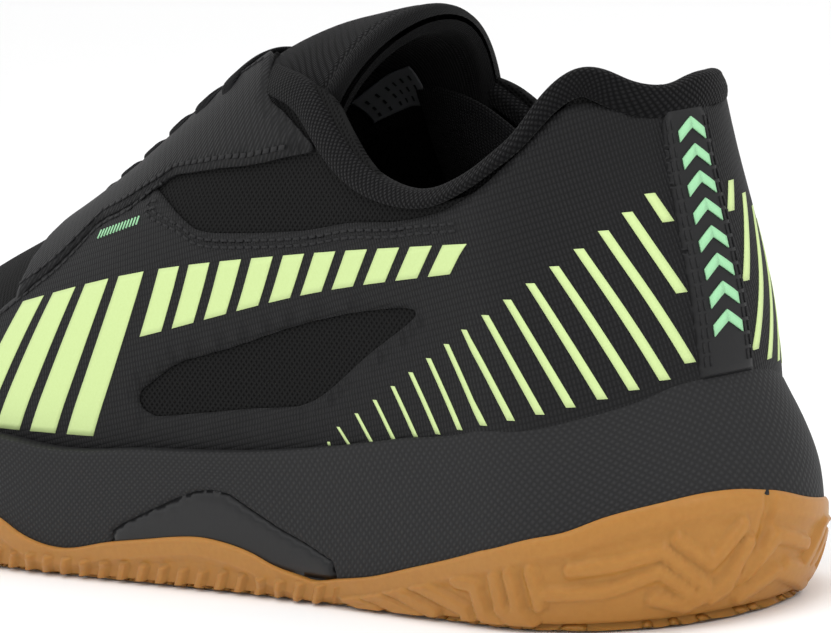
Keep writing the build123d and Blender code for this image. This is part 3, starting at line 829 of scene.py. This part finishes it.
# %% Mesh body, one skin for each side
GAP_BACK, GAP_FRONT, THROAT_BACK, THROAT_FRONT = 16.0, 10.0, 121.0, 196.0
HEEL_TURN, HALF_UP_Z = 57, 60.0  # where the side leaves the heel, and half way up it


def gap_half(x):
    """Half width of the opening between the lace stays."""
    share = np.clip((x - THROAT_BACK) / (THROAT_FRONT - THROAT_BACK), 0, 1)
    return GAP_BACK + (GAP_FRONT - GAP_BACK) * share


def side_skin(name, side, material, rows=70, last_u=206.0):
    """Skin of one side from the footbed up to the collar or the lace opening. Each column
    keeps its length x once it has left the heel; rows follow the superellipse's angle."""
    u0 = np.linspace(0, last_u, 230)
    t = np.linspace(0, 1, rows)
    free = np.clip(u0 / HEEL_TURN, 0, 1)
    free = free * free * (3 - 2 * free)
    x_mid, _ = round_heel(HEEL_BACK(HALF_UP_Z), HEEL_ARC, u0)
    q_top = (COLLAR(side * u0) - 1 - FOOTBED_Z) / (RIDGE(x_mid) - FOOTBED_Z)
    y_side = np.sqrt(1 - np.clip(gap_half(x_mid) / UPPER_OUT(x_mid), 0, 1) ** 2)
    at_gap = np.arcsin(y_side)
    at_collar = np.arcsin(np.clip(q_top, 0, 1) ** (FULL / 2))
    top = np.where(x_mid < THROAT_BACK, np.minimum(at_collar, at_gap), at_gap)
    angle = t[:, None] * top[None]
    z = FOOTBED_Z + (RIDGE(x_mid) - FOOTBED_Z) * np.sin(angle) ** (2 / FULL)
    u = u0 + free * (HEEL_BACK(HALF_UP_Z) - HEEL_BACK(z))
    points = wall(side * np.maximum(u, 1e-3), z)
    up = run_along(points)
    uv = np.stack([np.broadcast_to(u0, up.shape), up], -1)
    faces = grid_faces(rows, len(u0), flip=side > 0)
    return thickness(mesh_piece(name, points, faces, material, uv), 1.2)


for side, end in SIDES:
    skin = side_skin("mesh_body_" + end, side, MESH)
    node_end = "lateral" if side > 0 else "medial"
    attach(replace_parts(skin, "quarter_mesh_" + node_end), "root")

# %% Vamp mesh
x_vamp = 184 + (TOE_X - 184.4) * np.sin(np.linspace(0, np.pi / 2, 90))
v_vamp = np.linspace(-BOW_MM, BOW_MM, 121)
gx, gv = np.meshgrid(x_vamp, v_vamp, indexing="ij")
points = raised(bow, gx, gv, np.full(gx.shape, -0.1))
vamp = mesh_piece("vamp_skin", points, grid_faces(90, 121, flip=True), MESH,
                  np.stack([gx, gv], -1))
vamp = thickness(vamp, 1.2)
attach(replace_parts(vamp, "vamp_mesh", "toe_puff"), "root")

# %% Side panels
WINDOW_LOW = [
    (159.8, 83.5), (149.3, 78.5), (143.7, 76.5), (134, 76), (109.4, 77), (92.6, 79), (80, 79.5),
    (71.6, 80.3), (62, 82)]
PANEL_TOP = [
    (56, 84), (50, 87), (44, 91), (38, 95.5), (33, 99.5), (29, 101.8), (24, 102.3), (18, 101.5),
    (10, 99.8), (3, 99)]
PANEL_FRONT = [
    (238, 30), (236, 38), (230, 48), (222, 56), (215, 60), (208, 63.5), (201, 67), (194.8, 71),
    (186.4, 77), (175, 80.5), (164, 84)]
TEARDROP = [
    (162.6, 41.5), (159, 44), (150, 48.5), (134.6, 52), (115, 57), (102.4, 59.5), (89, 61.5),
    (76.5, 62.5), (73.7, 61.5), (77.2, 59), (89.8, 52.5), (103, 44.5), (110, 41.5),
    (115.7, 40.5), (128.3, 39.5), (152.8, 37), (158.4, 37), (161.9, 38.5)]
for side, end in SIDES:
    corners = [(3, 26), (60, 24), (150, 22), (238, 24)] + PANEL_FRONT + WINDOW_LOW + PANEL_TOP
    outline = loop_through(np.array(corners, float) * (side, 1), 1.1)
    window = loop_through(np.array(TEARDROP, float) * (side, 1), 1.0)
    panel = cut_pattern("side_panel_" + end, wall, outline, [window], OVERLAY, 0.9, 0.9,
                        spacing=1.9, edge_drop=0.45, groove=0.6)
    node_end = "lateral" if side > 0 else "medial"
    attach(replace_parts(panel, "quarter_overlay_" + node_end), "root")

# %% Lace stays
STAY_LOW = [
    (93, 93.6), (101.3, 92), (115, 90), (131.7, 88.5), (144, 87), (149.5, 84.5), (161, 80),
    (171.8, 76.5), (175.5, 73.5), (179, 70.5), (184.2, 66.5), (190.4, 63), (197, 60)]
STAY_HIGH = [
    (203, 16), (204, 10), (199, 8.5), (190, 10.5), (170, 12.2), (150, 13.8), (130, 15.2),
    (122, 16.2)]
STAY_REAR = [(114, 104.5), (106, 101), (98, 97)]
for side, end in SIDES:
    low = [(x, float(bow_at_z(x, z))) for x, z in STAY_LOW]
    high = [(x, float(bow_at_y(x, y))) for x, y in STAY_HIGH]
    rear = [(x, float(bow_at_z(x, z))) for x, z in STAY_REAR]
    outline = loop_through(np.array(low + high + rear) * (1, side), 1.0)
    stay = cut_pattern("lace_stay_" + end, bow, outline, [], EYESTAY, 1.5, 1.5,
                       spacing=1.5, edge_drop=0.6)
    node_end = "lateral" if side > 0 else "medial"
    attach(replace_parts(stay, "eyestay_" + node_end), "root")

# %% Toe panel
toe_line = [
    (252, -58), (246, -40), (256, -15), (259, 0), (256, 15), (246, 40), (252, 58), (270, 59.5),
    (286, 59.5), (287.2, 20), (287.2, -20), (286, -59.5), (270, -59.5)]
toe = cut_pattern("toe_panel", bow, loop_through(toe_line, 1.4), [], OVERLAY, 0.9, 0.9,
                  spacing=2.0, edge_drop=0.4)
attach(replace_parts(toe, "toe_overlay"), "root")

# %% Heel strip
strip_line = [
    (-7.2, 47), (-7.4, 60), (-7.2, 80), (-6.6, 97), (-5.4, 99.6), (0, 100), (5, 99.8), (6.3, 97),
    (6.6, 80), (6.8, 60), (6.6, 47)]
strip = cut_pattern("smooth_heel_strip", wall, straight_through(strip_line, 0.8), [], STRIP, 1.6,
                    1.0, spacing=1.2, edge_drop=0.7)
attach(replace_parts(strip, "heel_strip", "heel_counter"), "root")

# %% [markdown]
# ## Collar
# The collar's top edge is a line on the last. A knit roll lies over that edge: it starts on
# the outside, goes over the top in a half circle, and meets the padded lining inside.

# %% Collar roll and lining
COLLAR_END = 127.0
# how far down the outside the roll reaches, by the distance round from the heel
ROLL_DEPTH = smooth([
    (0, 5.2), (20, 5.2), (32, 3.6), (45, 2.4), (62, 2.4), (76, 3.0), (84, 4.0), (92, 4.8),
    (110, 5.4), (131, 5.6)])
ROLL_R, ROLL_OUT = 2.2, 1.1  # radius, and how far the roll stands off the last
LINING_LOW_Z, PAD_LOW_Z = 26.0, 60  # the lining reaches lower than its padding
PAD_MIN, PAD_SWELL = 3.2, 5.4


def edge_frame(side, stations):
    """Collar's edge points with their outward and downward directions."""
    u = np.linspace(0, COLLAR_END, stations)
    z = COLLAR(side * u)
    rim = wall(side * np.maximum(u, 1e-3), z)
    along = unit(np.gradient(rim, axis=0))
    out = raised(wall, side * np.maximum(u, 1e-3), z, np.ones(len(u))) - rim
    down = np.cross(along, out)
    down *= np.where(down[:, 2:] > 0, -1, 1)
    return u, rim, out, down


def collar_rings(side, stations):
    """Rows across the roll, from the outer lower edge over the top to the inside."""
    u, rim, out, down = edge_frame(side, stations)
    depth = ROLL_DEPTH(u)[:, None]
    out = out * (1 - 0.6 * np.clip((u - 118) / 9, 0, 1))[:, None]
    rows = []
    for share in (1.0, 0.97, 0.9, 0.75, 0.5, 0.25):
        puff = ROLL_OUT + 0.5 * np.sin(np.pi * share) - 0.7 * (share > 0.98)
        rows.append(rim + down * depth * share + out * puff)
    for turn in np.linspace(0, np.pi, 12):
        rows.append(rim + out * (ROLL_OUT - ROLL_R + ROLL_R * np.cos(turn))
                    - down * ROLL_R * 0.75 * np.sin(turn))
    rows.append(rim + out * (ROLL_OUT - 2 * ROLL_R) + down * 1.6)
    rows.append(rim + out * (ROLL_OUT - 1.8 * ROLL_R) + down * 3.2)
    rows.append(rim + out * (-1.6) + down * 4.4)
    return np.stack(rows)


def joined_sides(build, stations=150):
    """Both sides of the collar as one strip, inner side first, heel in the middle."""
    return np.concatenate([build(-1, stations)[:, :0:-1], build(1, stations)], axis=1)


def blur(points, times):
    """Even out the columns of a strip, keeping its two ends."""
    for _ in range(times):
        mid = points[:, 1:-1]
        points = points.copy()
        points[:, 1:-1] = 0.5 * mid + 0.25 * (points[:, :-2] + points[:, 2:])
    return points


def strip_uv(points):
    """Pattern map of a strip: real length along it, and real width across it."""
    along, across = run_along(points[len(points) // 2]), run_along(points)
    return np.stack([np.broadcast_to(along, across.shape), across], -1)


roll_points = blur(joined_sides(collar_rings), 12)
roll = mesh_piece("collar_roll", roll_points,
                  grid_faces(*roll_points.shape[:2], flip=True), ROLL_KNIT,
                  strip_uv(roll_points))
thickness(roll, 0.8)
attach(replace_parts(roll, "collar_binding"), "root")


def lining_rings(side, stations):
    """Rows down the padded lining: it swells under the roll and thins to the footbed."""
    u = np.linspace(0, COLLAR_END, stations)
    rows = []
    for share in np.linspace(0, 1, 34):
        top_z = COLLAR(side * u)
        z = top_z - 3.0 + (LINING_LOW_Z - top_z + 3.0) * share
        drop = top_z - z
        swell = np.sin(np.pi * np.clip(drop / (top_z - PAD_LOW_Z), 0, 1)) ** 0.8
        pad = PAD_MIN + PAD_SWELL * swell
        pad *= np.clip(1 - (u - 108) / 40, 0.45, 1)
        rows.append(raised(wall, side * np.maximum(u, 1e-3), z, -pad))
    return np.stack(rows)


lining_points = blur(joined_sides(lining_rings), 8)
lining = mesh_piece("padded_lining", lining_points,
                    grid_faces(*lining_points.shape[:2]), LINING, strip_uv(lining_points))
thickness(lining, 1.0)
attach(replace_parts(lining, "collar_lining", "collar_foam"), "root")

# %% [markdown]
# ## Tongue
# One long padded piece under the laces. Behind the top lace it stands free and folds forward.

# %% Tongue
# length x, height, half width, how far the side edges hang below the middle
TONGUE = np.array([
    (206, 69, 12, 2), (196, 75.5, 17, 3.5), (180, 83.5, 20, 6), (165, 90.5, 22, 9),
    (150, 98, 23, 11), (136, 105.5, 24, 14), (123, 112, 25, 19), (112, 115.2, 25, 24),
    (100, 117, 24.5, 28), (90, 118.2, 24, 31), (83, 118.6, 24, 31)], float)


def tongue_surface(count, across):
    """Grid along the stations. Each section is half an ellipse, y = half width x sin a and
    hang = depth x (1 - cos a), with a from -90 to 90 degrees."""
    run = run_along(TONGUE[:, :2])
    s = np.linspace(0, run[-1], count)
    x, z, half, hang = (smooth(np.stack([run, TONGUE[:, k]], -1))(s)[:, None]
                        for k in range(4))
    slope = unit(np.stack([np.gradient(x[:, 0]), np.gradient(z[:, 0])], -1))
    t = np.linspace(-1, 1, across)[None]
    corner = np.clip((s - run[-1] + 8) / 8, 0, 1)[:, None]
    angle = t * np.pi / 2 * (1 - 0.22 * (1 - np.sqrt(1 - corner**2)))
    sag = hang * (1 - np.cos(angle))
    y = half * np.sin(angle) - 2
    swept = np.clip((s - run[-1] + 45) / 45, 0, 1)[:, None] * 13 * np.sin(angle) ** 2
    px = x + HEEL_X - slope[:, 1:] * sag * 0.35 + swept
    return np.stack(np.broadcast_arrays(px, y, z - sag), -1), s, t[0]


def tongue_body(count, across):
    """Closed padded body: an upper and a lower face that meet in a rounded rim."""
    top, s, t = tongue_surface(count, across)
    normal = unit(np.cross(np.gradient(top, axis=1), np.gradient(top, axis=0)))
    normal *= np.sign(normal[:, across // 2, 2])[:, None, None]
    end = np.clip((s[-1] - s) / 4, 0, 1)[:, None]
    rim = np.sqrt(np.clip(1 - np.abs(t[None]) ** 10, 0, 1)) * np.sqrt(1 - (1 - end) ** 2)
    pad = 0.4 + 2.6 * rim
    seam = np.exp(-((np.abs(t[None]) - 0.84) / 0.025) ** 2) + np.exp(
        -((s[-1] - s[:, None] - 6) / 0.6) ** 2)
    upper = top + normal * (pad - 0.5 * np.clip(seam, 0, 1) * rim)[..., None]
    lower = (top - normal * (pad + 0.3)[..., None])[:, ::-1]
    return np.concatenate([upper, lower], axis=1)


TONGUE_ROWS, TONGUE_COLUMNS = 120, 61
tongue_points = tongue_body(TONGUE_ROWS, TONGUE_COLUMNS)
tongue_faces = grid_faces(TONGUE_ROWS, 2 * TONGUE_COLUMNS, wrap_columns=True)
tongue = mesh_piece("padded_tongue", tongue_points, tongue_faces, ROLL_KNIT,
                    strip_uv(tongue_points.transpose(1, 0, 2)).transpose(1, 0, 2))
tongue.data.materials.append(LINING)
inner_face = np.array([p.index % (2 * TONGUE_COLUMNS) >= TONGUE_COLUMNS - 1
                       for p in tongue.data.polygons])
tongue.data.polygons.foreach_set("material_index", inner_face.astype(np.int32))
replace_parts(tongue, "tongue", "tongue_flap")
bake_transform(tongue)
print("tongue", len(tongue_faces) * 2, "triangles")

# %% [markdown]
# ## Laces
# Flat webbing runs in a criss-cross over the instep. Each ribbon dips below the lace stay at
# both ends, where its hole would be: the holes themselves are not cut. The ribbons of one
# direction lie over the others.

# %% Laces
EYELET_X = [134, 146, 158, 170, 181, 192]
LACE_WIDE, LACE_THICK = 7.0, 1.3


def ribbon(x0, v0, x1, v1, high, steps=44, across=9):
    """Closed flat ribbon over the instep from one hole to another."""
    t = np.linspace(0, 1, steps)
    x, v = x0 + (x1 - x0) * t, v0 + (v1 - v0) * t
    dip = 1 - np.exp(-(np.minimum(t, 1 - t) / 0.06) ** 2)
    mid = raised(bow, x, v, 0.6 + (1.9 + high * np.sin(np.pi * t)) * dip)
    along = unit(np.gradient(mid, axis=0))
    out = raised(bow, x, v, np.ones(steps)) - bow(x, v)
    side = unit(np.cross(along, out))
    out = np.cross(side, along)
    angle = np.linspace(0, 2 * np.pi, 2 * across, endpoint=False)
    ca = np.sign(np.cos(angle)) * np.abs(np.cos(angle)) ** 0.45
    sa = np.sin(angle)
    width = LACE_WIDE * (0.55 + 0.45 * dip)
    ring = (mid[:, None] + side[:, None] * (ca[None] * width[:, None] / 2)[..., None]
            + out[:, None] * (sa[None] * LACE_THICK / 2)[..., None])
    uv = np.stack(np.broadcast_arrays(run_along(mid)[:, None], ca[None] * LACE_WIDE / 2), -1)
    return ring, uv


def lace_set(name, ways, high):
    """All ribbons of one direction as one mesh."""
    points, faces, uvs, first = [], [], [], 0
    for way in ways:
        ring, uv = ribbon(*way, high)
        rows, columns = ring.shape[:2]
        points.append(ring.reshape(-1, 3))
        uvs.append(uv.reshape(-1, 2))
        faces.append(grid_faces(rows, columns, wrap_columns=True) + first)
        first += rows * columns
    return mesh_piece(name, np.concatenate(points), np.concatenate(faces), LACE,
                      np.concatenate(uvs))


def hole_v(x):
    """Across the instep to the lace hole at length x."""
    return float(bow_at_y(x, gap_half(x) + 5.5))


under = [(a, hole_v(a), b, -hole_v(b)) for a, b in zip(EYELET_X[1:], EYELET_X[:-1])]
over = [(a, -hole_v(a), b, hole_v(b)) for a, b in zip(EYELET_X[1:], EYELET_X[:-1])]
laces_low = lace_set("laces_lower", under, -4.0)
laces_high = lace_set("laces_upper", over, -2.2)
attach(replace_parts(laces_low, "laces_under"), "root")
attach(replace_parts(laces_high, "laces_over"), "root")

# %% [markdown]
# ## Prints
# The prints are thin films on the panels: slanted stripes round the heel, a row of slanted
# bars along each side, a line of tiny ticks, and a column of chevrons up the heel strip.

# %% Heel stripes
def slant_bar(low, high, wide_low, wide_high):
    """Corners of a bar from a foot to a top, each with its own width."""
    (a, b), (c, d) = low, high
    return ((a - wide_low / 2, b), (a + wide_low / 2, b), (c + wide_high / 2, d),
            (c - wide_high / 2, d))


for side, end in SIDES:
    stripes = []
    for k in range(16):
        top = np.array((99.5 - 5.85 * k, 37.3 + 3.1 * k))
        foot = np.array((94.8 - 6.7 * k, 32.5 + 1.3 * k))
        wide = 0.9 + 0.11 * k
        cut = np.clip((7.3 + wide / 2 - foot[0]) / (top[0] - foot[0]), 0, 1)
        foot = foot + (top - foot) * cut
        if top[1] - foot[1] > 2:
            stripes.append([(side * p, q) for p, q in slant_bar(foot, top, wide * 1.1, wide)])
    stripes.append([(side * p, q) for p, q in slant_bar((102.4, 33.2), (102.6, 34), 0.8, 0.8)])
    film = film_patches("heel_stripes_" + end, wall, stripes, LIME, 1.02)
    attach(film, "root")
print("heel stripes", len(stripes), "a side")

# %% Side bars
SHORT_TOP = smooth([(50, 76.2), (110, 72.2), (160, 67.5), (230, 55)])
SHORT_FOOT = smooth([(50, 71), (110, 63.8), (160, 54), (230, 40)])
for side, end in SIDES:
    bars = []
    for start in np.arange(56, 152, 10.5):
        a, b = start, start + 7
        bars.append([(a + 5, SHORT_FOOT(a + 5)), (b + 5, SHORT_FOOT(b + 5)),
                     (b - 1, SHORT_TOP(b - 1)), (a - 1, SHORT_TOP(a - 1))])
    for start in (163, 176, 189, 202):
        a, b = start, start + 9
        bars.append([(a + 14, 31.5), (b + 14, 31.5), (b - 1, SHORT_TOP(b - 1)),
                     (a - 1, SHORT_TOP(a - 1))])
    bars = [[(side * float(p), float(q)) for p, q in bar] for bar in bars]
    film = film_patches("side_bars_" + end, wall, bars, LIME, 1.02, across=8)
    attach(film, "root")

# %% Ticks beside the window
ticks = []
for k in range(13):
    u, z = 166.5 + 1.35 * k, 77.6 - 0.3 * k
    ticks.append(slant_bar((u + 0.5, z - 0.9), (u, z + 0.9), 0.55, 0.55))
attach(film_patches("ticks", wall, ticks, MINT, 1.02), "root")

# %% Chevrons on the heel strip
chevrons = []
for z in np.arange(56, 94, 5.4):
    for s in (-1, 1):
        centre = -0.6
        chevrons.append(((centre, z + 1.6), (centre + s * 3.4, z - 1.0),
                         (centre + s * 3.4, z + 1.2), (centre, z + 3.8)))
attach(film_patches("heel_chevrons", wall, chevrons, MINT, 1.95, across=4, thick=0.4), "root")

# %% [markdown]
# ## Stitching
# Each seam is a row of short raised threads, two rows where the piece is sewn twice.

# %% Stitch rows
def stitch_row(line, pitch=2.7, long=2.0, wide=0.5):
    """Four-cornered stitches along an open line of pattern points."""
    p = np.asarray(line, float)
    run = run_along(p)
    stitches = []
    for s in np.arange(0.5, run[-1] - long, pitch):
        ends = np.array([[np.interp(q, run, p[:, 0]), np.interp(q, run, p[:, 1])]
                         for q in (s, s + long)])
        way = unit(ends[1] - ends[0])
        off = np.array([-way[1], way[0]]) * wide / 2
        stitches.append((ends[0] - off, ends[0] + off, ends[1] + off, ends[1] - off))
    return stitches


strip_seams = []
for u in (-6.2, -4.9, 4.1, 5.4):
    strip_seams += stitch_row([(u, 49), (u, 98)])
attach(film_patches("heel_strip_stitches", wall, strip_seams, THREAD, 1.78, thick=0.35),
        "root")
for side, end in SIDES:
    seams = []
    low = loop_through(np.array(WINDOW_LOW, float), 1.5, closed=False)
    for drop in (1.6, 3.0):
        seams += stitch_row((low - (0, drop)) * (side, 1))
    front = loop_through(np.array(PANEL_FRONT, float), 1.5, closed=False)
    seams += stitch_row((front - (1.4, 1.4)) * (side, 1))
    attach(film_patches("panel_stitches_" + end, wall, seams, THREAD, 1.08, thick=0.3),
            "root")
    stay_seams = []
    stay_low = np.array([(x, bow_at_z(x, z + 1.8)) for x, z in STAY_LOW[1:]])
    stay_high = np.array([(x - 1.5, bow_at_y(x, gap_half(x) + 1.8)) for x in
                          np.linspace(124, 196, 20)])
    for line in (stay_low, stay_high):
        stay_seams += stitch_row(line * (1, side))
    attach(film_patches("stay_stitches_" + end, bow, stay_seams, THREAD, 1.68, thick=0.3),
            "root")
print("heel strip stitches", len(strip_seams), "panel stitches", len(seams))

# %% [markdown]
# ## Label and sockliner
# A satin label is sewn to the lining of the tongue, so it is a strip of the same surface,
# stood off by the padding. The sockliner is one loose padded sheet that fills the footbed.

# %% Tongue label
base = tongue_surface(160, 81)[0]
LABEL_ROWS, LABEL_COLUMNS = slice(92, 126), slice(8, 24)
sub = base[LABEL_ROWS, LABEL_COLUMNS]
normal = unit(np.cross(np.gradient(sub, axis=1), np.gradient(sub, axis=0)))
normal *= np.where((normal[..., 1:2] < 0), -1, 1)
LABEL_LIFT, DASH_LIFT = 4.3, 4.6
patch = sub + normal * LABEL_LIFT
label_uv = np.stack(np.meshgrid(np.arange(sub.shape[0]) * 1.0, np.arange(sub.shape[1]) * 1.0,
                                indexing="ij"), -1)
label = mesh_piece("satin_label", patch, grid_faces(*sub.shape[:2]), LABEL, label_uv)
thickness(label, 0.25, 1.0)
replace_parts(label, "tongue_label")
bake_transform(label)
dashes, dash_faces = [], []
for i in range(4, 30, 5):
    for j in (2, 6, 10):
        dashes.append((sub + normal * DASH_LIFT)[i:i + 2, j:j + 3].reshape(-1, 3))
        dash_faces.append(grid_faces(2, 3) + 6 * len(dash_faces))
ink = mesh_piece("label_dashes", np.concatenate(dashes), np.concatenate(dash_faces), DASH)
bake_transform(thickness(ink, 0.1, 1.0))
print("label from", patch.min((0, 1)), "to", patch.max((0, 1)))

# %% Sockliner
# how far in from the last, and how high; None is the middle line
SOCK_SECTION = [(None, 21.6), (8, 21.6), (6.6, 22.4), (6.6, 24.6), (7.6, 25.5), (None, 25.5)]
u_line = ring_u(200)
reach = np.minimum(np.abs(u_line), 250) + np.clip(np.abs(u_line) - 250, 0, None) * 0.75
plan = wall(np.where(u_line < 0, -reach, np.maximum(reach, 1)), 26.0 + 0 * u_line)
rows = [at_height(spine_of(plan) if mm is None else inwards(plan, mm), z)
        for mm, z in SOCK_SECTION]
sockliner = ring_body("knit_sockliner", rows, LINING)
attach(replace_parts(sockliner, "sockliner"), "sockliner")

low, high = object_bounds()
